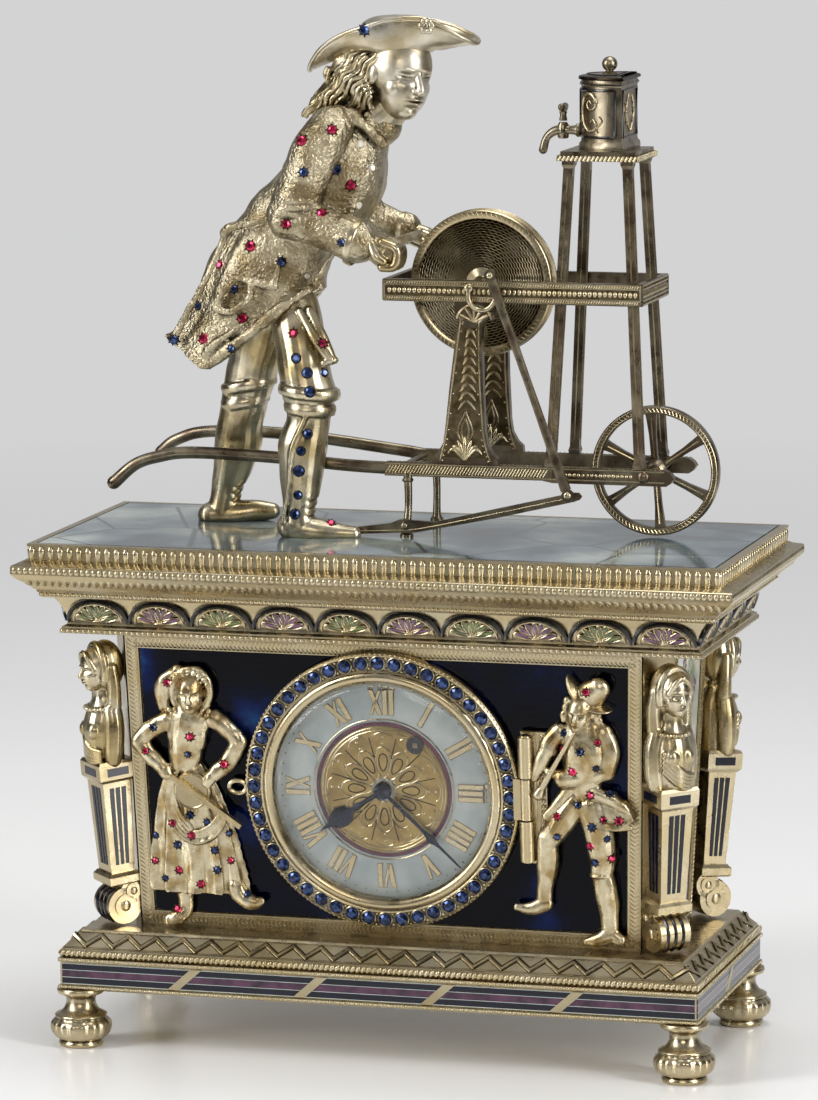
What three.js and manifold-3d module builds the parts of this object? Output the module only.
import * as THREE from 'three';
import Module from 'manifold-3d';
import { mergeVertices } from 'three/addons/utils/BufferGeometryUtils.js';

// Mantel clock with a knife grinder and his cart on top. Millimetres, +Z up, front towards -Y.

// Case
const clearance = 0.3;
const footHeight = 11.57;
const footRadius = 6.0;
const footSpanX = 121.0;
const footSpanY = 49.6;
const plinthWidth = 128.0;
const plinthDepth = 56.6;
const plinthHeight = 11.43;
const bodyHeight = 58.48;
const bodyFrontBottom = 17.1;
const bodyLean = 5.2;
const frontHalfWidthBottom = 50.1;
const bodyFlare = 1.4;
const frontHalfWidthTop = frontHalfWidthBottom + bodyFlare;
const panelThickness = 2.4;
const panelBorder = 2.6;
const enamelThickness = 0.9;
const enamelRecess = 0.35;
const cornerWidthBottom = 3.4;
const cornerWidthTop = 4.5;
const sideOffsetBottom = frontHalfWidthBottom + cornerWidthBottom;
const sideOffsetTop = frontHalfWidthTop + cornerWidthTop;
const sideHalfDepthBottom = 10.5;
const sideHalfDepthTop = 13.5;
const corniceWidth = 137.4;
const corniceDepth = 59.6;
const corniceHeight = 18.0;
const topEnamelInset = 1.6;

// Caryatids
const caryatidOut = 4.6;
const caryatidBack = 0.4;
const caryatidHeadLean = 1.3;
const caryatidFootX = frontHalfWidthBottom + caryatidOut;
const caryatidFootY = bodyFrontBottom - caryatidBack;
const caryatidHeadX = frontHalfWidthTop + caryatidOut + caryatidHeadLean;
const caryatidHeadY = caryatidFootY + bodyLean - 2 * caryatidBack + clearance / 3;
const caryatidHeight = 0.985 * bodyHeight;

// Dial, bezel and movement
// Everything on the dial keeps its share of the space that the front leaves it
const dialCentreShare = 0.50787;
const widthShare = 1.13553;
const dialFit = Math.min(bodyHeight, frontHalfWidthTop * widthShare);
const dialRadius = 0.40185 * dialFit;
const dialThickness = 0.01368 * dialFit;
const bezelRadius = 0.47025 * dialFit;
const bezelBore = 0.36765 * dialFit;
const bezelDepth = 0.04275 * dialFit;
const crystalRise = 0.03249 * dialFit;
const crystalThickness = 0.01197 * dialFit;
const drumWall = 0.03420 * dialFit;
const drumDepth = 0.30096 * dialFit;
const plateThickness = 0.02052 * dialFit;
const plateGap = 0.20862 * dialFit;
const frontPlateSetback = 0.06669 * dialFit;
const hingeHeight = 0.45486 * dialFit;
const hingeRadius = 0.02052 * dialFit;
const hingeOffset = 0.49248 * dialFit;
const hingeProud = 0.03762 * dialFit;
const hingeKnuckle = 0.13680 * dialFit;
const thumbPieceLength = 0.07524 * dialFit;
const thumbPieceHeight = 0.05814 * dialFit;
const minuteHandLength = 0.35910 * dialFit;
const hourHandLength = 0.26676 * dialFit;
const handThickness = 0.4;
const windingX = 0.11115 * dialFit;
const windingZ = 0.15561 * dialFit;
const windingHole = 0.02736 * dialFit;
const arborRadius = 0.00855 * dialFit;
const centreArborRadius = 0.01539 * dialFit;
const motionModule = 0.00718 * dialFit;
const trainModule = 0.00718 * dialFit;
const wheelThickness = 0.01197 * dialFit;
const pinionLength = 0.02565 * dialFit;
const barrelLength = 0.08550 * dialFit;
const balanceRadius = 0.07695 * dialFit;

// Group on the top plate: all its tables are shares of this height
const groupHeight = 100.0;
const cartCentreY = 8.1;

// Counts
const cannonTeeth = 12;
const minuteWheelTeeth = 36;
const minutePinionTeeth = 8;
const hourTeeth = 32;
const barrelTeeth = 32;
const trainWheelTeeth = 32;
const trainPinionTeeth = 8;
const escapeTeeth = 15;
const footSides = 12;
const roundSides = 28;
const bezelSides = 36;
const wheelSpokes = 6;
const wheelSides = 24;

const wasm = await Module();
wasm.setup();
const clock = new THREE.Group();
clock.name = 'figural_mantel_clock';

// Materials
const finishes = {
  gilt: [0xc9a04c, 0.32, 1.0],
  oldGilt: [0xb48d45, 0.42, 1.0],
  silver: [0xb9b4a8, 0.38, 1.0],
  brass: [0xb99552, 0.35, 1.0],
  steel: [0x33363c, 0.4, 1.0],
  stone: [0x8f8a7d, 0.85, 0.0],
  blueEnamel: [0x1c2a86, 0.2, 0.0],
  paleEnamel: [0xd9ddd8, 0.22, 0.0],
  topEnamel: [0xb9c2cc, 0.25, 0.0],
  dialEnamel: [0xe6e8e4, 0.22, 0.0],
  glass: [0xe8eef0, 0.05, 0.0],
};

// Geometry to solid and back
function toSolid(geometry) {
  const bare = geometry.clone();
  bare.deleteAttribute('normal');
  if (bare.getAttribute('uv')) bare.deleteAttribute('uv');
  const merged = mergeVertices(bare, clearance / groupHeight / groupHeight);
  const vertProperties = new Float32Array(merged.getAttribute('position').array);
  const triVerts = new Uint32Array(merged.index.array);
  return new wasm.Manifold(new wasm.Mesh({ numProp: 3, vertProperties, triVerts }));
}

function toGeometry(solid) {
  const mesh = solid.getMesh();
  const geometry = new THREE.BufferGeometry();
  geometry.setAttribute('position', new THREE.BufferAttribute(new Float32Array(mesh.vertProperties), 3));
  geometry.setIndex(new THREE.BufferAttribute(new Uint32Array(mesh.triVerts), 1));
  geometry.computeVertexNormals();
  return geometry;
}

function addPart(name, finish, solid) {
  const [color, roughness, metalness] = finishes[finish];
  const material = new THREE.MeshStandardMaterial({ color, roughness, metalness });
  material.name = finish;
  const mesh = new THREE.Mesh(toGeometry(solid), material);
  mesh.name = name;
  clock.add(mesh);
  return mesh;
}

const join = (solids) => solids.reduce((whole, solid) => whole.add(solid));
const cut = (solid, tools) => tools.reduce((rest, tool) => rest.subtract(tool), solid);

function moved(solid, matrix) {
  return toSolid(toGeometry(solid).applyMatrix4(matrix));
}

function box(x0, x1, y0, y1, z0, z1) {
  const geometry = new THREE.BoxGeometry(x1 - x0, y1 - y0, z1 - z0);
  geometry.translate((x0 + x1) / 2, (y0 + y1) / 2, (z0 + z1) / 2);
  return toSolid(geometry);
}

// Outline in x and z, thick along y
function plate(outline, y0, y1, holes = []) {
  const shape = new THREE.Shape(outline.map(([x, z]) => new THREE.Vector2(x, z)));
  for (const hole of holes) {
    shape.holes.push(new THREE.Path(hole.map(([x, z]) => new THREE.Vector2(x, z))));
  }
  const geometry = new THREE.ExtrudeGeometry(shape, { depth: y1 - y0, bevelEnabled: false });
  geometry.rotateX(Math.PI / 2);
  geometry.translate(0, y1, 0);
  return toSolid(geometry);
}

const circle = (x, z, radius, sides, phase = 0) => Array.from({ length: sides }, (_, i) => {
  const angle = phase + (i / sides) * 2 * Math.PI;
  return [x + radius * Math.cos(angle), z + radius * Math.sin(angle)];
});

// Turned profile of radius and position along y
function turnedY(profile, x, z, sides) {
  const points = profile.map(([radius, y]) => new THREE.Vector2(radius, y));
  const geometry = new THREE.LatheGeometry(points, sides);
  geometry.translate(x, 0, z);
  return solidOutward(geometry);
}

function turnedZ(profile, x, y, sides) {
  const points = profile.map(([radius, z]) => new THREE.Vector2(radius, z));
  const geometry = new THREE.LatheGeometry(points, sides);
  geometry.rotateX(Math.PI / 2);
  geometry.translate(x, y, 0);
  return solidOutward(geometry);
}

// Closed surface turned outward if it is inside out
function solidOutward(geometry) {
  const bare = geometry.clone();
  bare.deleteAttribute('normal');
  if (bare.getAttribute('uv')) bare.deleteAttribute('uv');
  const merged = mergeVertices(bare, clearance / groupHeight / groupHeight);
  const place = merged.getAttribute('position');
  const corners = [new THREE.Vector3(), new THREE.Vector3(), new THREE.Vector3()];
  const kept = [];
  let volume = 0;
  for (let i = 0; i < merged.index.count; i += 3) {
    const ids = [0, 1, 2].map((k) => merged.index.getX(i + k));
    if (ids[0] === ids[1] || ids[1] === ids[2] || ids[2] === ids[0]) continue;
    ids.forEach((id, k) => corners[k].fromBufferAttribute(place, id));
    volume += corners[0].dot(corners[1].clone().cross(corners[2]));
    kept.push(ids);
  }
  const order = volume < 0 ? [0, 2, 1] : [0, 1, 2];
  merged.setIndex(kept.flatMap((ids) => order.map((k) => ids[k])));
  return toSolid(merged);
}

// Skin over closed loops of equal length, capped flat at both ends
function loft(loops) {
  const count = loops[0].length;
  const index = [];
  for (let ring = 0; ring + 1 < loops.length; ring += 1) {
    for (let i = 0; i < count; i += 1) {
      const a = ring * count + i;
      const b = ring * count + ((i + 1) % count);
      index.push(a, b, b + count, a, b + count, a + count);
    }
  }
  const last = (loops.length - 1) * count;
  for (let i = 1; i + 1 < count; i += 1) {
    index.push(0, i + 1, i, last, last + i, last + i + 1);
  }
  const geometry = new THREE.BufferGeometry();
  geometry.setAttribute('position', new THREE.Float32BufferAttribute(loops.flat(2), 3));
  geometry.setIndex(index);
  return solidOutward(geometry);
}

// Rectangular mouldings stacked upward: offset from the half width and half depth, and height
const moulded = (halfWidth, halfDepth, profile) => loft(profile.map(([offset, z]) => {
  const x = halfWidth + offset;
  const y = halfDepth + offset;
  return [[-x, -y, z], [x, -y, z], [x, y, z], [-x, y, z]];
}));

// Oval sections along a path: each holds a centre, two half sizes and the direction of the path
function limb(sections, sides) {
  const loops = sections.map(({ at, half, along, fore }) => {
    const w = new THREE.Vector3(...along).normalize();
    const u = new THREE.Vector3(...fore);
    u.addScaledVector(w, -u.dot(w)).normalize();
    const v = w.clone().cross(u);
    return Array.from({ length: sides }, (_, i) => {
      const angle = (i / sides) * 2 * Math.PI;
      const point = new THREE.Vector3(...at);
      point.addScaledVector(u, half[0] * Math.cos(angle));
      point.addScaledVector(v, half[1] * Math.sin(angle));
      return point.toArray();
    });
  });
  return loft(loops);
}

// Path with a smaller section added beyond each end, for rounded ends
const domeShare = 0.65;
function domed(path) {
  const tip = (end, inner) => {
    const size = end.length - 1;
    const step = end.slice(0, size).map((value, k) => value - inner[k]);
    const reach = domeShare * end[size] / Math.hypot(...step);
    return [...end.slice(0, size).map((value, k) => value + step[k] * reach), end[size] * domeShare];
  };
  return [tip(path[0], path[1]), ...path, tip(path[path.length - 1], path[path.length - 2])];
}

// Round limb through centres and radii, each section square to the path
function stalk(points, sides) {
  return limb(points.map(([x, y, z, r], i) => {
    const before = points[Math.max(i - 1, 0)];
    const after = points[Math.min(i + 1, points.length - 1)];
    const along = [0, 1, 2].map((k) => after[k] - before[k]);
    const fore = Math.abs(along[1]) > Math.hypot(along[0], along[2]) ? [1, 0, 0] : [0, 1, 0];
    return { at: [x, y, z], half: [r, r], along, fore };
  }), sides);
}

// Wire of round or square section along a smooth curve
function wire(points, radius, sides, steps) {
  const curve = new THREE.CatmullRomCurve3(points.map((p) => new THREE.Vector3(...p)));
  const shape = new THREE.Shape(circle(0, 0, radius, sides).map(([x, y]) => new THREE.Vector2(x, y)));
  const settings = { steps, bevelEnabled: false, extrudePath: curve };
  return solidOutward(new THREE.ExtrudeGeometry(shape, settings));
}

function ball(x, y, z, rx, ry, rz, sides, rows) {
  const geometry = new THREE.SphereGeometry(1, sides, rows);
  geometry.scale(rx, ry, rz);
  geometry.translate(x, y, z);
  return solidOutward(geometry);
}

// Feet: turned, resting flat, tops flat against the plinth
const footProfileShares = [
  [0, 0], [0.7, 0], [0.75, 0.1], [0.95, 0.24], [1, 0.36], [0.86, 0.47], [0.82, 0.53], [0.5, 0.7],
  [0.48, 0.8], [0.77, 0.91], [0.77, 1], [0, 1],
];
for (const [side, sx, sy] of [['front_left', -1, -1], ['front_right', 1, -1], ['back_left', -1, 1],
  ['back_right', 1, 1]]) {
  const profile = footProfileShares.map(([r, z]) => [r * footRadius, z * footHeight]);
  addPart(`foot_${side}`, 'gilt', turnedZ(profile, sx * footSpanX / 2, sy * footSpanY / 2, footSides));
}

// Plinth: cove and zig-zag slope over the enamelled band
const plinthProfileShares = [
  [-0.031, 0], [0, 0.029], [0, 0.064], [-0.035, 0.09], [-0.035, 0.466], [0, 0.493], [0, 0.55],
  [-0.079, 0.55], [-0.035, 0.571], [-0.009, 0.624], [-0.035, 0.685], [-0.07, 0.703],
  [-0.335, 0.974], [-0.335, 1],
];
const plinthTop = footHeight + plinthHeight;
addPart('base_plinth', 'gilt', moulded(plinthWidth / 2, plinthDepth / 2, plinthProfileShares.map(
  ([offset, z]) => [offset * plinthHeight, footHeight + z * plinthHeight],
)));

// Cornice with a recess for its enamelled top
const corniceBottom = plinthTop + bodyHeight;
const corniceTop = corniceBottom + corniceHeight;
const corniceProfileShares = [
  [-0.272, 0], [-0.272, 0.05], [-0.344, 0.122], [-0.344, 0.244], [-0.29, 0.32], [-0.222, 0.4],
  [-0.111, 0.444], [-0.083, 0.483], [-0.017, 0.544], [0.1, 0.6], [0.15, 0.678], [0.15, 0.772],
  [0, 0.811], [0, 1],
];
const topRecess = enamelThickness + clearance;
const topX = corniceWidth / 2 - topEnamelInset;
const topY = corniceDepth / 2 - topEnamelInset;
const cornice = moulded(corniceWidth / 2, corniceDepth / 2, corniceProfileShares.map(
  ([offset, z]) => [offset * corniceHeight, corniceBottom + z * corniceHeight],
));
addPart('cornice', 'gilt', cut(cornice, [
  box(-topX, topX, -topY, topY, corniceTop - topRecess, corniceTop + topRecess),
]));
addPart('top_enamel', 'topEnamel', box(
  clearance - topX, topX - clearance, clearance - topY, topY - clearance,
  corniceTop - topRecess, corniceTop,
));

// Body walls lean outward as they rise; every wall is a frame with a shallow bed for its plaque
const wallAt = (bottom, top, z) => bottom + (top - bottom) * (z - plinthTop) / bodyHeight;
const frontFace = (z) => -wallAt(bodyFrontBottom, bodyFrontBottom + bodyLean, z);
const frontHalf = (z) => wallAt(frontHalfWidthBottom, frontHalfWidthTop, z);
const sideFace = (z) => wallAt(sideOffsetBottom, sideOffsetTop, z);
const sideHalf = (z) => wallAt(sideHalfDepthBottom, sideHalfDepthTop, z);

// Leaning slab in front of the body: inset from its edges, between two depths behind the face
function frontSlab(inset, near, far, z0, z1) {
  return loft([z0, z1].map((z) => {
    const x = frontHalf(z) - inset;
    const y = frontFace(z);
    return [[-x, y + near, z], [x, y + near, z], [x, y + far, z], [-x, y + far, z]];
  }));
}

function sideSlab(inset, near, far, z0, z1) {
  return loft([z0, z1].map((z) => {
    const y = sideHalf(z) - inset;
    const x = sideFace(z);
    return [[x - far, -y, z], [x - near, -y, z], [x - near, y, z], [x - far, y, z]];
  }));
}

// Frame of the leaning front: origin at the dial centre, up along the wall
const dialZ = plinthTop + dialCentreShare * bodyHeight;
const lean = Math.atan(bodyLean / bodyHeight);
const frontFrame = new THREE.Matrix4().makeTranslation(0, frontFace(dialZ), dialZ)
  .multiply(new THREE.Matrix4().makeRotationX(lean));
const halfTurn = new THREE.Matrix4().makeRotationZ(Math.PI);

const drumHole = dialRadius + clearance + clearance;
const bedDepth = enamelRecess + enamelThickness + clearance;
const bedBottom = plinthTop + panelBorder + clearance;
const bedTop = corniceBottom - panelBorder + clearance;
const hole = (radius) => moved(
  plate(circle(0, 0, radius, roundSides), -panelThickness * 2, panelThickness * 2), frontFrame,
);
const plaqueCut = hole(dialRadius + clearance * 5);
const frontWall = cut(frontSlab(0, 0, panelThickness, plinthTop, corniceBottom), [
  frontSlab(panelBorder, -panelThickness, bedDepth, bedBottom, bedTop),
]);
const frontPlaque = frontSlab(
  panelBorder + clearance, enamelRecess, enamelRecess + enamelThickness,
  bedBottom + clearance, bedTop - clearance,
);
addPart('front_panel', 'gilt', cut(frontWall, [hole(drumHole)]));
addPart('front_enamel', 'blueEnamel', cut(frontPlaque, [plaqueCut]));
addPart('back_panel', 'gilt', moved(frontWall, halfTurn));
addPart('back_enamel', 'blueEnamel', moved(frontPlaque, halfTurn));
const sideWall = cut(sideSlab(0, 0, panelThickness, plinthTop, corniceBottom), [
  sideSlab(panelBorder, -panelThickness, bedDepth, bedBottom, bedTop),
]);
const sidePlaque = sideSlab(
  panelBorder + clearance, enamelRecess, enamelRecess + enamelThickness,
  bedBottom + clearance, bedTop - clearance,
);
addPart('right_panel', 'gilt', sideWall);
addPart('right_enamel', 'paleEnamel', sidePlaque);
addPart('left_panel', 'gilt', moved(sideWall, halfTurn));
addPart('left_enamel', 'paleEnamel', moved(sidePlaque, halfTurn));

// Corner post behind each caryatid, filling the chamfer between two walls
const postLoops = [plinthTop, corniceBottom].map((z) => {
  const x = frontHalf(z) + clearance;
  const y = -sideHalf(z) - clearance;
  return [
    [x, frontFace(z), z], [sideFace(z), y, z], [sideFace(z) - panelThickness, y, z],
    [x, frontFace(z) + panelThickness, z],
  ];
});

// Caryatid: sections as shares of its height (height, half width, half depth, set forward)
const shaftShares = [[0.145, 0.05, 0.046, 0], [0.205, 0.05, 0.046, 0], [0.5, 0.061, 0.055, 0]];
const lowerBlockShares = [
  [0.145, 0.066, 0.062, 0], [0.185, 0.066, 0.062, 0], [0.205, 0.052, 0.048, 0],
];
const collarShares = [
  [0.5, 0.062, 0.056, 0], [0.53, 0.073, 0.068, 0], [0.57, 0.073, 0.068, 0],
];
const bustShares = [
  [0.56, 0.058, 0.05, 0], [0.62, 0.072, 0.07, 0.012], [0.67, 0.08, 0.08, 0.016],
  [0.72, 0.08, 0.066, 0.006], [0.76, 0.062, 0.045, -0.004], [0.785, 0.036, 0.034, -0.002],
];
const veilShares = [
  [0.7, 0.078, 0.048, -0.02], [0.78, 0.062, 0.048, -0.016], [0.86, 0.066, 0.056, -0.01],
  [0.92, 0.062, 0.055, -0.008], [0.965, 0.044, 0.042, -0.006], [0.99, 0.016, 0.016, -0.006],
];
const faceShares = [
  [0.775, 0.024, 0.026, 0.02], [0.82, 0.04, 0.046, 0.014], [0.88, 0.042, 0.048, 0.01],
  [0.93, 0.034, 0.036, 0.006],
];
const scrollShare = 0.062;
const bustSides = 7;

function caryatid() {
  const h = caryatidHeight;
  const centre = (share, forward) => {
    const x = caryatidFootX + (caryatidHeadX - caryatidFootX) * share;
    const y = -caryatidFootY - (caryatidHeadY - caryatidFootY) * share;
    return [x + forward * h * Math.SQRT1_2, y - forward * h * Math.SQRT1_2, plinthTop + share * h];
  };
  const rings = (shares) => shares.map(([z, width, depth, forward]) => ({
    at: centre(z, forward), half: [width * h, depth * h], along: [0, 0, 1], fore: [1, 1, 0],
  }));
  const square = (shares) => loft(shares.map(([z, width, depth, forward]) => {
    const [x, y, height] = centre(z, forward);
    return [[1, 1], [-1, 1], [-1, -1], [1, -1]].map(([a, b]) => [
      x + (a * width - b * depth) * h * Math.SQRT1_2 * -1,
      y + (a * width + b * depth) * h * Math.SQRT1_2 * -1, height,
    ]);
  }));
  const scroll = (forward, z, radius) => {
    const [x, y] = centre(z, forward);
    const disc = plate(circle(0, 0, radius * h, 8), -scrollShare * h, scrollShare * h);
    const lying = moved(disc, new THREE.Matrix4().makeRotationZ(Math.PI / 2));
    const at = new THREE.Matrix4().makeTranslation(x, y, plinthTop + z * h);
    return moved(lying, at.multiply(new THREE.Matrix4().makeRotationZ(-Math.PI / 4)));
  };
  return cut(join([
    loft(postLoops), square(shaftShares), square(lowerBlockShares), square(collarShares),
    limb(rings(bustShares), bustSides + 1), limb(rings(veilShares), bustSides),
    limb(rings(faceShares), bustSides), scroll(0.01, 0.066, 0.066), scroll(-0.02, 0.11, 0.045),
  ]), [
    frontSlab(-clearance, -clearance, panelThickness * 3, plinthTop, corniceBottom),
    sideSlab(-clearance, -clearance, panelThickness * 3, plinthTop, corniceBottom),
  ]);
}
const caryatidSolid = caryatid();
const mirrorX = new THREE.Matrix4().makeScale(-1, 1, 1);
const mirrored = (solid) => solidOutward(toGeometry(solid).applyMatrix4(mirrorX));
addPart('caryatid_front_right', 'silver', caryatidSolid);
addPart('caryatid_back_left', 'silver', moved(caryatidSolid, halfTurn));
addPart('caryatid_front_left', 'silver', mirrored(caryatidSolid));
addPart('caryatid_back_right', 'silver', moved(mirrored(caryatidSolid), halfTurn));

// Reliefs on the front: limbs in the frame of the wall, x and z from the dial centre and radius,
// all as shares of the body height, cut flat at the back
const reliefDepthShare = 0.045;
const girlShares = [
  [[-0.637, 0.31, 0.062], [-0.65, 0.27, 0.052], [-0.664, 0.17, 0.068], [-0.68, 0.06, 0.058]],
  [[-0.68, 0.08, 0.062], [-0.665, -0.04, 0.105], [-0.655, -0.2, 0.145], [-0.645, -0.385, 0.165]],
  [[-0.6, 0.2, 0.045], [-0.5, 0.13, 0.04], [-0.56, 0.04, 0.032], [-0.62, 0.01, 0.03]],
  [[-0.72, 0.2, 0.045], [-0.82, 0.15, 0.04], [-0.77, 0.06, 0.032], [-0.7, 0.0, 0.03]],
  [[-0.72, 0.05, 0.03], [-0.66, 0.0, 0.06], [-0.6, -0.03, 0.06], [-0.48, -0.13, 0.02]],
  [[-0.68, -0.37, 0.04], [-0.7, -0.44, 0.03], [-0.71, -0.465, 0.028]],
  [[-0.55, -0.36, 0.04], [-0.5, -0.395, 0.03], [-0.47, -0.4, 0.026]],
  [[-0.69, 0.385, 0.03], [-0.655, 0.41, 0.06], [-0.625, 0.37, 0.075], [-0.63, 0.33, 0.07]],
];
const boyShares = [
  [[0.685, 0.31, 0.058], [0.69, 0.27, 0.04], [0.7, 0.2, 0.085], [0.715, 0.08, 0.075],
    [0.71, -0.02, 0.085]],
  [[0.72, 0.02, 0.06], [0.79, -0.06, 0.08], [0.84, -0.09, 0.05]],
  [[0.69, -0.03, 0.07], [0.62, -0.16, 0.055], [0.52, -0.27, 0.035], [0.45, -0.365, 0.03]],
  [[0.73, -0.05, 0.07], [0.74, -0.2, 0.052], [0.73, -0.36, 0.036], [0.76, -0.445, 0.034],
    [0.7, -0.475, 0.028]],
  [[0.76, 0.2, 0.045], [0.78, 0.1, 0.042], [0.68, 0.1, 0.034], [0.62, 0.12, 0.028]],
  [[0.64, 0.2, 0.04], [0.6, 0.12, 0.034], [0.575, 0.04, 0.026]],
  [[0.665, 0.22, 0.02], [0.63, 0.15, 0.02], [0.57, 0.02, 0.03], [0.545, -0.03, 0.04]],
  [[0.61, 0.33, 0.03], [0.68, 0.37, 0.075], [0.73, 0.42, 0.062], [0.79, 0.31, 0.03]],
];

const hingeZone = box(
  0, hingeOffset + 2 * hingeRadius + clearance, -bodyHeight, bodyHeight,
  -hingeHeight / 2 - clearance, hingeHeight / 2 + clearance,
);
function relief(shares) {
  const scale = bodyHeight;
  const wide = frontHalfWidthTop * widthShare;
  const depth = reliefDepthShare * scale;
  const limbs = shares.map((bones) => {
    const path = domed(bones);
    const sections = path.map(([x, z, r], i) => {
      const before = path[Math.max(i - 1, 0)];
      const after = path[Math.min(i + 1, path.length - 1)];
      return {
        at: [x * wide, 0, z * scale], half: [depth * Math.min(1, r / reliefDepthShare), r * dialFit],
        along: [after[0] - before[0], 0, after[1] - before[1]], fore: [0, -1, 0],
      };
    });
    return limb(sections, 6);
  });
  const back = box(-wide, wide, 0, scale, -scale, scale);
  return moved(cut(join(limbs), [back, hingeZone]), frontFrame);
}
addPart('girl_relief', 'silver', relief(girlShares));
addPart('boy_relief', 'silver', relief(boyShares));

// Bezel: turned ring, knuckle, lug and thumb loop; glazed with a domed crystal
const addLocal = (name, finish, solid) => addPart(name, finish, moved(solid, frontFrame));
const bezelProfileShares = [
  [0, 0], [1, 0], [1, 0.5], [0.9, 0.8], [0.46, 0.8], [0.36, 1], [0.16, 1], [0, 0.8], [0, 0],
];
const bezelBack = -clearance;
const bezelWidth = bezelRadius - bezelBore;
const bezelRing = turnedY(bezelProfileShares.map(([r, y]) => (
  [bezelBore + r * bezelWidth, bezelBack - y * bezelDepth]
)), 0, 0, bezelSides);
const knuckle = (z0, z1) => {
  const solid = turnedZ([[0, z0], [hingeRadius, z0], [hingeRadius, z1], [0, z1]], 0, 0, 12);
  return moved(solid, new THREE.Matrix4().makeTranslation(hingeOffset, -hingeProud, 0));
};
const loopX = -bezelRadius - thumbPieceLength / 2 + clearance;
const stretch = new THREE.Matrix4().makeScale(1, 1, thumbPieceHeight / thumbPieceLength);
const thumbLoop = moved(plate(
  circle(0, 0, thumbPieceLength / 2, 14), bezelBack - bezelDepth / 2, bezelBack,
  [circle(0, 0, thumbPieceLength / 4, 10)],
), new THREE.Matrix4().makeTranslation(loopX, 0, -2 * clearance).multiply(stretch));
const halfKnuckle = hingeKnuckle / 2;
addLocal('bezel', 'gilt', join([
  bezelRing, knuckle(-halfKnuckle, halfKnuckle), thumbLoop,
  box(bezelRadius - 4 * clearance, hingeOffset, -hingeProud - hingeRadius / 2, -hingeProud + hingeRadius / 2,
    -halfKnuckle, halfKnuckle),
]));
const outerKnuckle = halfKnuckle + clearance;
const hingeTop = hingeHeight / 2;
const leafFront = -hingeProud + hingeRadius + clearance;
addLocal('bezel_hinge', 'gilt', join([
  knuckle(outerKnuckle, outerKnuckle + hingeKnuckle), knuckle(-outerKnuckle - hingeKnuckle, -outerKnuckle),
  box(hingeOffset - hingeRadius / 2, hingeOffset + 2 * hingeRadius, leafFront, -clearance / 2,
    -hingeTop, hingeTop),
  box(hingeOffset, hingeOffset + hingeRadius, -hingeProud, leafFront + clearance,
    outerKnuckle, outerKnuckle + hingeKnuckle),
  box(hingeOffset, hingeOffset + hingeRadius, -hingeProud, leafFront + clearance,
    -outerKnuckle - hingeKnuckle, -outerKnuckle),
]));
const glassShares = [[0, 1], [0.42, 0.85], [0.75, 0.45], [1, 0]];
const glassSeatShare = 0.75;
const glassRim = bezelBack - bezelDepth * glassSeatShare;
const glassRadius = bezelBore - clearance;
const glassOuter = glassShares.map(([r, y]) => [r * glassRadius, glassRim - crystalThickness - y * crystalRise]);
const glassInner = glassShares.map(([r, y]) => [r * glassRadius, glassRim - y * crystalRise]).reverse();
addLocal('crystal', 'glass', turnedY([...glassOuter, ...glassInner], 0, 0, roundSides - 4));

// Dial and drum
const hourPipe = centreArborRadius + 2 * clearance + clearance;
const dialBack = dialThickness;
const wall = dialRadius - drumWall;
addLocal('dial', 'dialEnamel', plate(
  circle(0, 0, dialRadius, roundSides), 0, dialBack,
  [circle(0, 0, hourPipe + clearance, 16), circle(windingX, windingZ, windingHole, 12)],
));
const drumFront = dialBack + clearance;
addLocal('dial_drum', 'brass', plate(
  circle(0, 0, dialRadius, roundSides), drumFront, drumFront + drumDepth, [circle(0, 0, wall, roundSides)],
));

// Hands: the hour hand rides on the hour pipe, the minute hand on the centre arbor
const hourHandShares = [
  [0.02, 0.11], [0.42, 0.06], [0.5, 0.16], [0.62, 0.2], [0.74, 0.13], [0.84, 0.05], [1, 0],
];
const minuteHandShares = [[0.02, 0.075], [0.5, 0.045], [0.62, 0.085], [0.7, 0.045], [0.94, 0.025], [1, 0]];
const minutePose = 133.7 * Math.PI / 180;
const hourPose = 236 * Math.PI / 180;
function hand(shares, length, turn, hubRadius, bore, y0, y1) {
  const right = shares.map(([along, side]) => [side * length, along * length]);
  const left = right.slice(0, -1).reverse().map(([x, z]) => [-x, z]);
  const blade = plate([...right, ...left], y0, y1);
  const turned = moved(blade, new THREE.Matrix4().makeRotationY(turn));
  const hub = plate(circle(0, 0, hubRadius, 12), y0, y1);
  return cut(join([turned, hub]), [plate(circle(0, 0, bore, 12), 2 * y0 - y1, 2 * y1 - y0)]);
}
const hourY = -2 * clearance - handThickness;
const minuteY = hourY - handThickness - clearance;
const wideHub = hourPipe + 2 * clearance;
addLocal('hour_hand', 'steel', hand(
  hourHandShares, hourHandLength, hourPose, wideHub, hourPipe, hourY, hourY + handThickness,
));
addLocal('minute_hand', 'steel', hand(
  minuteHandShares, minuteHandLength, minutePose, wideHub, centreArborRadius, minuteY,
  minuteY + handThickness,
));

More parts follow.
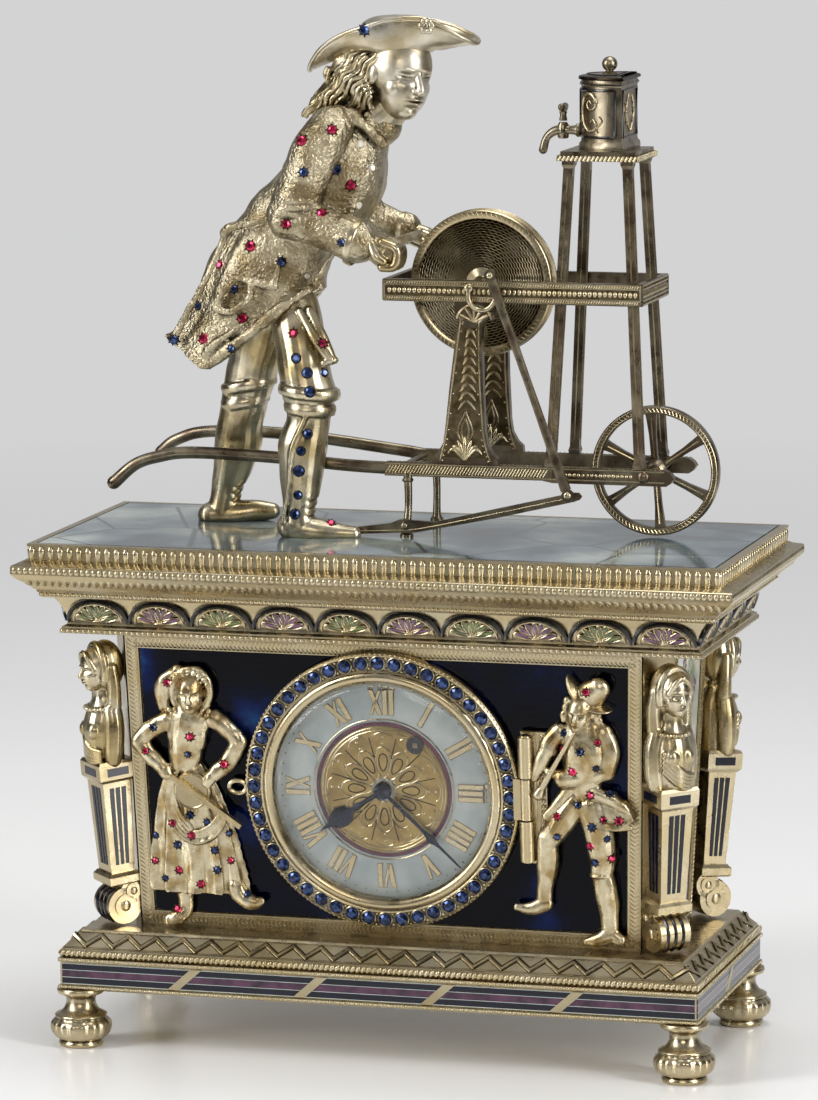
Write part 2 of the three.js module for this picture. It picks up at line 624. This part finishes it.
// Movement between two round plates; wheel teeth thinner than their gaps
const platesFront = frontPlateSetback;
const innerFront = platesFront + plateThickness;
const innerBack = innerFront + plateGap;
const plateRadius = wall - clearance;
const gapCentre = centreArborRadius + clearance;
addLocal('front_plate', 'brass', plate(
  circle(0, 0, plateRadius, roundSides), platesFront, innerFront,
  [circle(0, 0, gapCentre, 12), circle(windingX, windingZ, windingHole, 12)],
));
addLocal('back_plate', 'brass', plate(
  circle(0, 0, plateRadius, roundSides), innerBack, innerBack + plateThickness,
  [circle(windingX, windingZ, windingHole, 12)],
));
const addendumShare = 0.8;
const dedendumShare = 1.15;
function teeth(count, module, x, z, phase) {
  const pitch = count * module / 2;
  return Array.from({ length: 2 * count }, (_, i) => {
    const radius = i % 2 === 0 ? pitch + addendumShare * module : pitch - dedendumShare * module;
    const angle = phase + i * Math.PI / count;
    return [x + radius * Math.cos(angle), z + radius * Math.sin(angle)];
  });
}
const rod = (x, z, radius, y0, y1) => plate(circle(x, z, radius, 8), y0, y1);
// Phase that puts a gap of the second wheel on the line from its centre back to the first
const meshPhase = (count, direction) => direction + Math.PI + Math.PI / count;

// Under the dial: cannon pinion, minute wheel and hour wheel
const motionDistance = (cannonTeeth + minuteWheelTeeth) * motionModule / 2;
const hourModule = 2 * motionDistance / (hourTeeth + minutePinionTeeth);
const motionAngle = 200 * Math.PI / 180;
const minuteX = motionDistance * Math.cos(motionAngle);
const minuteZ = motionDistance * Math.sin(motionAngle);
const cannonY = platesFront - clearance - wheelThickness;
const motionY = cannonY - clearance - wheelThickness;
addLocal('minute_wheel', 'brass', join([
  plate(teeth(minuteWheelTeeth, motionModule, minuteX, minuteZ, meshPhase(minuteWheelTeeth, motionAngle)),
    cannonY, cannonY + wheelThickness),
  plate(teeth(minutePinionTeeth, hourModule, minuteX, minuteZ, motionAngle + Math.PI),
    motionY, cannonY),
]));
addLocal('hour_wheel', 'brass', join([
  plate(teeth(hourTeeth, hourModule, 0, 0, motionAngle + Math.PI / hourTeeth), motionY,
    motionY + wheelThickness, [circle(0, 0, gapCentre, 12)]),
  plate(circle(0, 0, hourPipe, 12), hourY + handThickness, motionY, [circle(0, 0, gapCentre, 12)]),
]));

// Going train behind the front plate
const barrelY = innerFront + 4 * clearance;
const barrelModule = 2 * Math.hypot(windingX, windingZ) / (barrelTeeth + trainPinionTeeth);
const barrelAngle = Math.atan2(windingZ, windingX);
const barrelBody = (barrelTeeth / 2 - 1 - dedendumShare) * barrelModule;
const barrelBore = [circle(windingX, windingZ, windingHole - clearance, 12)];
const trainDistance = (trainWheelTeeth + trainPinionTeeth) * trainModule / 2;
const centreWheelY = barrelY + wheelThickness + barrelLength + 2 * clearance;
const thirdWheelY = centreWheelY - wheelThickness - pinionLength;
const thirdAngle = 200 * Math.PI / 180;
const thirdX = trainDistance * Math.cos(thirdAngle);
const thirdZ = trainDistance * Math.sin(thirdAngle);
const escapeAngle = -50 * Math.PI / 180;
const escapeX = thirdX + trainDistance * Math.cos(escapeAngle);
const escapeZ = thirdZ + trainDistance * Math.sin(escapeAngle);
addLocal('barrel', 'brass', join([
  plate(teeth(barrelTeeth, barrelModule, windingX, windingZ, barrelAngle + Math.PI), barrelY,
    barrelY + wheelThickness, barrelBore),
  plate(circle(windingX, windingZ, barrelBody, wheelSides), barrelY + wheelThickness,
    barrelY + wheelThickness + barrelLength, barrelBore),
]));
const squareSide = arborRadius * 2;
addLocal('winding_arbor', 'steel', join([
  rod(windingX, windingZ, squareSide, platesFront, innerBack + plateThickness),
  plate(circle(windingX, windingZ, squareSide, 4), clearance, innerFront),
]));
addLocal('centre_wheel', 'brass', join([
  plate(circle(0, 0, centreArborRadius, 12), minuteY + handThickness + clearance / 3,
    innerBack - clearance),
  plate(teeth(cannonTeeth, motionModule, 0, 0, motionAngle), cannonY, cannonY + wheelThickness),
  plate(teeth(trainPinionTeeth, barrelModule, 0, 0, barrelAngle + Math.PI / trainPinionTeeth),
    innerFront + clearance, barrelY + wheelThickness + clearance),
  plate(teeth(trainWheelTeeth, trainModule, 0, 0, thirdAngle), centreWheelY,
    centreWheelY + wheelThickness),
]));
const trainArbor = (name, x, z, phase, wheelCount, wheelPhase, wheelY, wheelModule, pinionY) => {
  addLocal(name, 'brass', join([
    rod(x, z, arborRadius, innerFront + clearance, innerBack - clearance),
    plate(teeth(trainPinionTeeth, trainModule, x, z, phase), pinionY, pinionY + pinionLength),
    plate(teeth(wheelCount, wheelModule, x, z, wheelPhase), wheelY, wheelY + wheelThickness),
  ]));
};
trainArbor('third_wheel', thirdX, thirdZ, meshPhase(trainPinionTeeth, thirdAngle), trainWheelTeeth,
  escapeAngle, thirdWheelY, trainModule, centreWheelY - (pinionLength - wheelThickness) / 2);
trainArbor('escape_wheel', escapeX, escapeZ, meshPhase(trainPinionTeeth, escapeAngle), escapeTeeth,
  0, thirdWheelY - wheelThickness - pinionLength, trainModule + trainModule / 2,
  thirdWheelY - (pinionLength - wheelThickness) / 2);
const balanceDistance = trainDistance + balanceRadius;
const balanceAngle = 3.5 * Math.PI / 180;
const balanceX = balanceDistance * Math.cos(balanceAngle);
const balanceZ = -balanceDistance * Math.sin(balanceAngle) - balanceRadius / 2;
const balanceY = innerBack - 2 * clearance - wheelThickness;
addLocal('balance_wheel', 'brass', join([
  rod(balanceX, balanceZ, arborRadius, innerFront + clearance, innerBack - clearance),
  plate(circle(balanceX, balanceZ, balanceRadius, 20), balanceY, balanceY + wheelThickness,
    [circle(balanceX, balanceZ, balanceRadius - wheelThickness, 20)]),
  box(balanceX - balanceRadius + clearance, balanceX + balanceRadius - clearance, balanceY,
    balanceY + wheelThickness, balanceZ - arborRadius, balanceZ + arborRadius),
]));

// Cart: every length below is a share of the height of the group, heights from the top plate
const G = groupHeight;
const lift = (z) => corniceTop + z * G;
const place = (x, y, z) => [x * G, cartCentreY + y * G, lift(z)];
const block = (x0, x1, y0, y1, z0, z1) => box(
  x0 * G, x1 * G, cartCentreY + y0 * G, cartCentreY + y1 * G, lift(z0), lift(z1),
);
const pathOf = (shares) => shares.map(([x, y, z]) => place(x, y, z));
const bar = (sharesList, radiusShare, sides) => stalk(
  sharesList.map(([x, y, z]) => [...place(x, y, z), radiusShare * G]), sides,
);
const sheet = (outline, y0, y1, holes = []) => plate(
  outline.map(([x, z]) => [x * G, lift(z)]), cartCentreY + y0 * G, cartCentreY + y1 * G,
  holes.map((loop) => loop.map(([x, z]) => [x * G, lift(z)])),
);
const gapShare = clearance / groupHeight;

// Rails, handles, legs and cross bar (shares)
const railTopShare = 0.1432;
const railShares = [
  [-0.045, 0.117], [0.27, 0.117], [0.29, 0.113], [0.515, 0.113], [0.53, 0.128], [0.515, railTopShare],
  [-0.045, railTopShare],
];
const railHalfSpanShare = 0.096;
const railHalfShare = 0.011;
const axleShare = [0.47, 0.1295];
const axleRadiusShare = 0.008;
const nearHandleShares = [
  [-0.03, -0.096, 0.13], [-0.13, -0.098, 0.134], [-0.273, -0.102, 0.145], [-0.436, -0.11, 0.15],
  [-0.54, -0.118, 0.129], [-0.59, -0.121, 0.09],
];
const farHandleShares = [
  [-0.03, 0.096, 0.132], [-0.078, 0.098, 0.14], [-0.305, 0.105, 0.163], [-0.47, 0.113, 0.162],
  [-0.54, 0.118, 0.143], [-0.57, 0.12, 0.12],
];
const handleRadiusShare = 0.012;
const legShares = [[0, 0.1, 0.125], [0.002, 0.104, 0.06], [0, 0.11, 0.003]];
const legRadiusShare = 0.0075;
const treadlePivotShare = [0, 0.023];
const treadleNearShare = -0.127;
const treadleFarShare = -0.118;
const crossBarShares = [[-0.02, -0.1, 0.13], [-0.02, 0.1, 0.13]];
const rails = [-1, 1].flatMap((side) => {
  const y = side * railHalfSpanShare;
  return [
    sheet(railShares, y - railHalfShare, y + railHalfShare,
      [circle(...axleShare, axleRadiusShare + gapShare * 0.8, 8)]),
    bar(legShares.map(([x, off, z]) => [x, side * off, z]), legRadiusShare, 6),
  ];
});
const footDisc = (side) => turnedZ(
  [[0, 0], [0.013, 0], [0.013, 0.006], [0, 0.006]].map(([r, z]) => [r * G, lift(z)]),
  legShares[2][0] * G, cartCentreY + side * legShares[2][1] * G, 8,
);
const treadlePin = sheet(circle(...treadlePivotShare, 0.005, 8), treadleNearShare - 0.003, -0.104);
addPart('cart_shafts', 'gilt', join([
  ...rails, footDisc(-1), footDisc(1), treadlePin, bar(crossBarShares, handleRadiusShare / 2, 6),
  wire(pathOf(nearHandleShares), handleRadiusShare * G, 6, 9),
  wire(pathOf(farHandleShares), handleRadiusShare * G, 6, 9),
  ball(...place(-0.592, -0.121, 0.088), 0.014 * G, 0.014 * G, 0.014 * G, 6, 4),
  ball(...place(-0.572, 0.12, 0.118), 0.014 * G, 0.014 * G, 0.014 * G, 6, 4),
]));

// Posts and upper frame
const frameBottomShare = 0.4582;
const frameTopShare = 0.501;
const postShares = [
  [0.059, railTopShare], [0.173, railTopShare], [0.165, 0.175], [0.157, 0.21], [0.154, 0.405],
  [0.158, 0.425], [0.176, frameBottomShare], [0.096, frameBottomShare], [0.103, 0.425],
  [0.1, 0.4], [0.073, 0.21], [0.067, 0.175],
];
const postOuterShare = 0.104;
const postInnerShare = 0.088;
addPart('near_post', 'gilt', sheet(postShares, -postOuterShare, -postInnerShare));
addPart('far_post', 'gilt', sheet(postShares, postInnerShare, postOuterShare));
const frameEndShares = [-0.046, 0.468];
const frameOuterShare = 0.1085;
const frameWallShare = 0.0115;
const stoneShare = [0.127, 0.487];
const stoneAxleShare = 0.0055;
addPart('upper_frame', 'gilt', cut(block(
  frameEndShares[0], frameEndShares[1], -frameOuterShare, frameOuterShare, frameBottomShare,
  frameTopShare,
), [
  block(frameEndShares[0] + frameWallShare, frameEndShares[1] - frameWallShare,
    frameWallShare - frameOuterShare, frameOuterShare - frameWallShare, 0, 1),
  sheet(circle(...stoneShare, stoneAxleShare + gapShare, 8), -1, 1),
]));

// Tower, tank, lid and tap
const towerXShare = 0.373;
const towerTopShare = 0.732;
const platformShare = 0.75;
const towerLegShare = 0.0095;
const towerSpanShares = [[0.088, railHalfSpanShare, railTopShare], [0.0574, 0.0684, towerTopShare]];
const towerLegs = [[-1, -1], [1, -1], [1, 1], [-1, 1]].map(([sx, sy]) => loft(
  towerSpanShares.map(([x, y, z]) => [[-1, -1], [1, -1], [1, 1], [-1, 1]].map(([a, b]) => place(
    towerXShare + sx * x + a * towerLegShare, sy * y + b * towerLegShare, z + (z > 0.5 ? gapShare : 0),
  ))),
));
const ledgeShares = [[0.0785, 0.08, towerTopShare], [0.0785, 0.08, platformShare]];
addPart('tank_tower', 'gilt', join([...towerLegs, loft(
  ledgeShares.map(([x, y, z]) => [[-1, -1], [1, -1], [1, 1], [-1, 1]].map(([a, b]) => place(
    towerXShare + a * x, b * y, z,
  ))),
)]));
const tankFlatShare = 0.417;
const tankHalfShare = 0.066;
const tankBulgeShare = 0.094;
const tankTopShare = 0.885;
const lidTopShare = 0.893;
const tankPlan = (grow) => {
  const arc = Array.from({ length: 11 }, (_, i) => {
    const angle = Math.PI / 2 + (i / 10) * Math.PI;
    return [
      tankFlatShare + (tankBulgeShare + grow) * Math.cos(angle), (tankHalfShare + grow) * Math.sin(angle),
    ];
  });
  return [[tankFlatShare + grow, -tankHalfShare - grow], [tankFlatShare + grow, tankHalfShare + grow], ...arc];
};
const tankRing = (grow, z) => tankPlan(grow).map(([x, y]) => place(x, y, z));
addPart('tank', 'silver', loft([
  tankRing(0.004, platformShare), tankRing(0.004, platformShare + 0.012), tankRing(0, platformShare + 0.016),
  tankRing(0, tankTopShare),
]));
const finial = [0.378, 0, 0.905];
addPart('tank_lid', 'gilt', join([
  loft([tankRing(0.005, tankTopShare), tankRing(0.005, lidTopShare)]),
  ball(...place(...finial), 0.0155 * G, 0.0155 * G, 0.0155 * G, 8, 5),
]));
const tapShares = [
  [tankFlatShare - tankBulgeShare - 0.004 - gapShare, 0, 0.785], [0.3, 0, 0.785], [0.268, 0, 0.782],
  [0.248, 0, 0.755], [0.244, 0, 0.732],
];
const keyShare = 0.286;
addPart('tank_tap', 'gilt', join([
  wire(pathOf(tapShares), 0.0075 * G, 6, 8),
  turnedZ([[0, 0.772], [0.0105, 0.772], [0.0105, 0.8], [0, 0.8]].map(([r, z]) => [r * G, lift(z)]),
    keyShare * G, cartCentreY, 8),
]));
const keyFoot = 0.8 + gapShare;
addPart('tap_key', 'gilt', join([
  turnedZ([[0, keyFoot], [0.005, keyFoot], [0.005, 0.822], [0, 0.822]].map(([r, z]) => [r * G, lift(z)]),
    keyShare * G, cartCentreY, 6),
  block(keyShare - 0.005, keyShare + 0.005, -0.016, 0.016, 0.82, 0.838),
]));

// Grindstone with its axle and curved crank; the rod hangs from the crank pin
const stoneProfileShares = [
  [0, -0.026], [0.03, -0.026], [0.03, -0.019], [0.125, -0.019], [0.129, -0.023], [0.142, -0.023],
  [0.142, 0.023], [0.129, 0.023], [0.125, 0.019], [0.03, 0.019], [0.03, 0.026], [0, 0.026],
];
const crankShare = 0.054;
const crankAngle = Math.PI / 6;
const crankYShare = -0.116;
const crankWireShare = 0.0045;
const pinShares = [
  stoneShare[0] + crankShare * Math.cos(crankAngle), stoneShare[1] + crankShare * Math.sin(crankAngle),
];
const pinEndShare = -0.136;
const crankPathShares = [
  [stoneShare[0], crankYShare, stoneShare[1]], [stoneShare[0] - 0.004, crankYShare, stoneShare[1] + 0.022],
  [stoneShare[0] + 0.02, crankYShare, stoneShare[1] + 0.042], [pinShares[0], crankYShare, pinShares[1]],
];
addPart('grindstone', 'stone', join([
  turnedY(stoneProfileShares.map(([r, y]) => [r * G, cartCentreY + y * G]), stoneShare[0] * G,
    lift(stoneShare[1]), 20),
  sheet(circle(...stoneShare, stoneAxleShare, 8), crankYShare - crankWireShare, 0.12),
  wire(pathOf(crankPathShares), crankWireShare * G, 6, 8),
  sheet(circle(...pinShares, crankWireShare, 8), pinEndShare, crankYShare + crankWireShare / 2),
]));
const rodEndShares = [0.33, 0.095];
const rodHalfShare = 0.005;
const rodTopYShare = -0.129;
const rodFootYShare = -0.142;
const eyeShare = 0.011;
const rodWidthShare = 0.008;
const rodRing = ([x, z], y, width) => [[-1, -1], [1, -1], [1, 1], [-1, 1]].map(([a, b]) => place(
  x + a * width, y + b * rodHalfShare, z,
));
const rodBore = sheet(circle(...pinShares, crankWireShare + gapShare, 8), -1, 1);
addPart('connecting_rod', 'gilt', cut(join([
  loft([rodRing(pinShares, rodTopYShare, rodWidthShare), rodRing(rodEndShares, rodFootYShare, rodWidthShare)]),
  sheet(circle(...pinShares, eyeShare, 10), rodTopYShare - rodHalfShare, rodTopYShare + rodHalfShare),
  sheet(circle(...rodEndShares, eyeShare, 10), rodFootYShare - rodHalfShare, rodFootYShare + rodHalfShare),
]), [rodBore]));
const treadleShares = [
  [-0.095, 0.003], [0.02, 0.01], [0.34, 0.08], [0.353, 0.09], [0.347, 0.1], [0.335, 0.098],
  [0.015, 0.034], [-0.012, 0.034], [-0.095, 0.019],
];
const treadleEndShare = [0.335, 0.089];
addPart('treadle', 'gilt', join([
  sheet(treadleShares, treadleNearShare, treadleFarShare, [
    circle(...treadlePivotShare, 0.005 + gapShare, 8),
  ]),
  sheet(circle(...treadleEndShare, 0.005, 8), treadleNearShare - 0.0055, treadleFarShare),
]));

// Cart wheel: rim, hub and spokes on one axle that turns in the rails
const wheelRadiusShare = axleShare[1] - gapShare;
const wheelHalfShare = 0.011;
const rimShare = 0.016;
const spokes = Array.from({ length: wheelSpokes / 2 }, (_, i) => {
  const reach = wheelRadiusShare - rimShare / 2;
  const angle = (i / wheelSpokes) * 2 * Math.PI;
  const [dx, dz] = [reach * Math.cos(angle), reach * Math.sin(angle)];
  return bar([[axleShare[0] - dx, 0, axleShare[1] - dz], [axleShare[0] + dx, 0, axleShare[1] + dz]], 0.0075, 6);
});
addPart('cart_wheel', 'gilt', join([
  sheet(circle(...axleShare, wheelRadiusShare, wheelSides), -wheelHalfShare, wheelHalfShare,
    [circle(...axleShare, wheelRadiusShare - rimShare, wheelSides)]),
  ...spokes,
  sheet(circle(...axleShare, 0.022, 12), -wheelHalfShare, wheelHalfShare),
  sheet(circle(...axleShare, axleRadiusShare, 8), -railHalfSpanShare - railHalfShare,
    railHalfSpanShare + railHalfShare),
]));

// Knife grinder: sections of his coat as shares (fore position, height, half fore and aft, half
// across, tilt of the section in turns); everything beside the coat is cut clear of it
const figureXShare = -0.25;
const figureYShare = -0.071;
const coatShares = [
  [-0.1, 0.385, 0.172, 0.098, 0.067], [-0.068, 0.47, 0.142, 0.094, 0.045], [0, 0.575, 0.108, 0.088, -0.04],
  [0.065, 0.64, 0.1, 0.1, -0.085], [0.125, 0.725, 0.088, 0.102, -0.105], [0.15, 0.775, 0.062, 0.082, -0.105],
  [0.17, 0.808, 0.042, 0.044, -0.08],
];
const coatSides = 12;
const figurePlace = (x, y, z) => place(figureXShare + x, figureYShare + y, z);
const mass = (x, y, z, rx, ry, rz, sides, rows) => (
  ball(...figurePlace(x, y, z), rx * G, ry * G, rz * G, sides, rows)
);
const bone = (points, sides) => stalk(domed(
  points.map(([x, y, z, r]) => [...figurePlace(x, y, z), r * G]),
), sides);
function coat(grow) {
  return limb(coatShares.map(([x, z, fore, side, tilt], i) => {
    const angle = tilt * 2 * Math.PI;
    const end = i === 0 ? -grow : (i === coatShares.length - 1 ? grow : 0);
    const [px, py, pz] = figurePlace(x, 0, z);
    return {
      at: [px - end * Math.sin(angle), py, pz + end * Math.cos(angle)],
      half: [fore * G + grow, side * G + grow],
      along: [-Math.sin(angle), 0, Math.cos(angle)], fore: [Math.cos(angle), 0, Math.sin(angle)],
    };
  }), coatSides);
}
const coatClear = coat(clearance);
addPart('grinder_coat', 'silver', coat(0));

// Head with neck and hair, and the broad hat turned up at the sides
const headShares = [0.228, 0, 0.868];
const headHalfShares = [0.06, 0.054, 0.074];
const faceTurn = -35 * Math.PI / 180;
const noseShares = [
  [headShares[0] + 0.05 * Math.cos(faceTurn), 0.05 * Math.sin(faceTurn), 0.876, 0.009],
  [headShares[0] + 0.066 * Math.cos(faceTurn), 0.066 * Math.sin(faceTurn), 0.858, 0.012],
];
const hairShares = [[0.19, 0, 0.89, 0.052], [0.13, 0.005, 0.85, 0.05], [0.075, 0.01, 0.825, 0.034]];
const head = (grow) => mass(...headShares, ...headHalfShares.map((half) => half + grow), 10, 7);
const hair = (grow) => bone(hairShares.map(([x, y, z, r]) => [x, y, z, r + grow]), 8);
addPart('grinder_head', 'silver', cut(join([
  head(0), hair(0), bone([[0.16, 0, 0.79, 0.036], [0.21, 0, 0.85, 0.036]], 8), bone(noseShares, 5),
]), [coatClear]));
const brimShares = [[0.075, 0], [0.172, 0], [0.172, 0.013], [0.075, 0.016]];
const brimCentreShare = [0.212, 0.912];
const brimSideShare = 0.56;
const brimRiseShare = 0.19;
const brimCurlShare = 0.028;
const brimSides = 14;
const brim = loft(brimShares.map(([r, thick]) => Array.from({ length: brimSides }, (_, i) => {
  const angle = (i / brimSides) * 2 * Math.PI;
  const out = r * Math.cos(angle);
  const curl = brimCurlShare * Math.sin(angle) ** 2 * (r > brimShares[0][0] ? 1 : 0);
  return figurePlace(brimCentreShare[0] + out, r * brimSideShare * Math.sin(angle),
    brimCentreShare[1] + out * brimRiseShare + curl + thick);
})));
const crownShares = [[0.215, 0.905, 0.08], [0.22, 0.95, 0.083], [0.227, 0.985, 0.07], [0.232, 1.01, 0.035]];
const crown = limb(crownShares.map(([x, z, r]) => ({
  at: figurePlace(x, 0, z), half: [r * G, r * G * 0.9], along: [0, 0, 1], fore: [1, 0, 0],
})), 10);
addPart('grinder_hat', 'gilt', cut(join([brim, crown]), [head(gapShare), hair(gapShare)]));

// Knife held across the front of the stone; hands are cut clear of it
const knifeShares = [[0.206, -0.125, 0.562], [0.217, -0.09, 0.565], [0.25, 0.13, 0.578]];
const knifeHalfShares = [[0.006, 0.01], [0.0035, 0.011], [0.002, 0.008]];
const knife = (grow) => loft(knifeShares.map(([x, y, z], i) => {
  const [hx, hz] = knifeHalfShares[i];
  const end = i === 0 ? -grow : (i === 2 ? grow : 0);
  return [[-1, -1], [1, -1], [1, 1], [-1, 1]].map(([a, b]) => (
    figurePlace(x + a * (hx + grow), y + end, z + b * (hz + grow))
  ));
}));
const knifeClear = knife(gapShare);
addPart('knife', 'steel', knife(0));
const nearArmShares = [
  [0.105, -0.085, 0.745, 0.05], [0.045, -0.105, 0.69, 0.046], [0, -0.112, 0.645, 0.043],
];
const nearForearmShares = [
  [0, -0.112, 0.645, 0.043], [0.08, -0.115, 0.615, 0.043], [0.165, -0.11, 0.6, 0.05],
  [0.18, -0.108, 0.595, 0.028], [0.205, -0.1, 0.575, 0.03], [0.222, -0.092, 0.56, 0.026],
];
const farArmShares = [
  [0.12, 0.085, 0.735, 0.05], [0.17, 0.11, 0.66, 0.045], [0.215, 0.118, 0.61, 0.046],
  [0.225, 0.12, 0.6, 0.026], [0.25, 0.128, 0.578, 0.026],
];
addPart('grinder_arm_near', 'silver', cut(join([
  bone(nearArmShares, 8), bone(nearForearmShares, 8),
]), [coatClear, knifeClear]));
addPart('grinder_arm_far', 'silver', cut(bone(farArmShares, 8), [coatClear, knifeClear]));

// Legs in breeches and boots, soles flat on the top plate
const ground = place(0, 0, 0)[2];
const belowGround = box(-corniceWidth, corniceWidth, -corniceWidth, corniceWidth, -corniceWidth, ground);
const nearLegShares = [
  [0.003, -0.065, 0.456, 0.07], [0.05, -0.075, 0.35, 0.066], [0.072, -0.08, 0.29, 0.058],
  [0.064, -0.08, 0.25, 0.04], [0.052, -0.083, 0.17, 0.043], [0.045, -0.09, 0.061, 0.029],
  [0.04, -0.092, 0.03, 0.028],
];
const nearFootShares = [[0.02, -0.1, 0.026, 0.03], [0.07, -0.088, 0.02, 0.028], [0.115, -0.078, 0.013, 0.02]];
const farLegShares = [
  [-0.03, 0.066, 0.44, 0.07], [-0.075, 0.067, 0.34, 0.064], [-0.104, 0.07, 0.274, 0.056],
  [-0.11, 0.073, 0.24, 0.04], [-0.124, 0.08, 0.181, 0.044], [-0.153, 0.09, 0.065, 0.029],
  [-0.16, 0.088, 0.03, 0.028],
];
const farFootShares = [[-0.18, 0.08, 0.026, 0.03], [-0.12, 0.093, 0.02, 0.028], [-0.07, 0.105, 0.013, 0.02]];
addPart('grinder_leg_near', 'silver', cut(join([
  bone(nearLegShares, 9), bone(nearFootShares, 8),
]), [coatClear, belowGround]));
addPart('grinder_leg_far', 'silver', cut(join([
  bone(farLegShares, 9), bone(farFootShares, 8),
]), [coatClear, belowGround]));

export default clock;
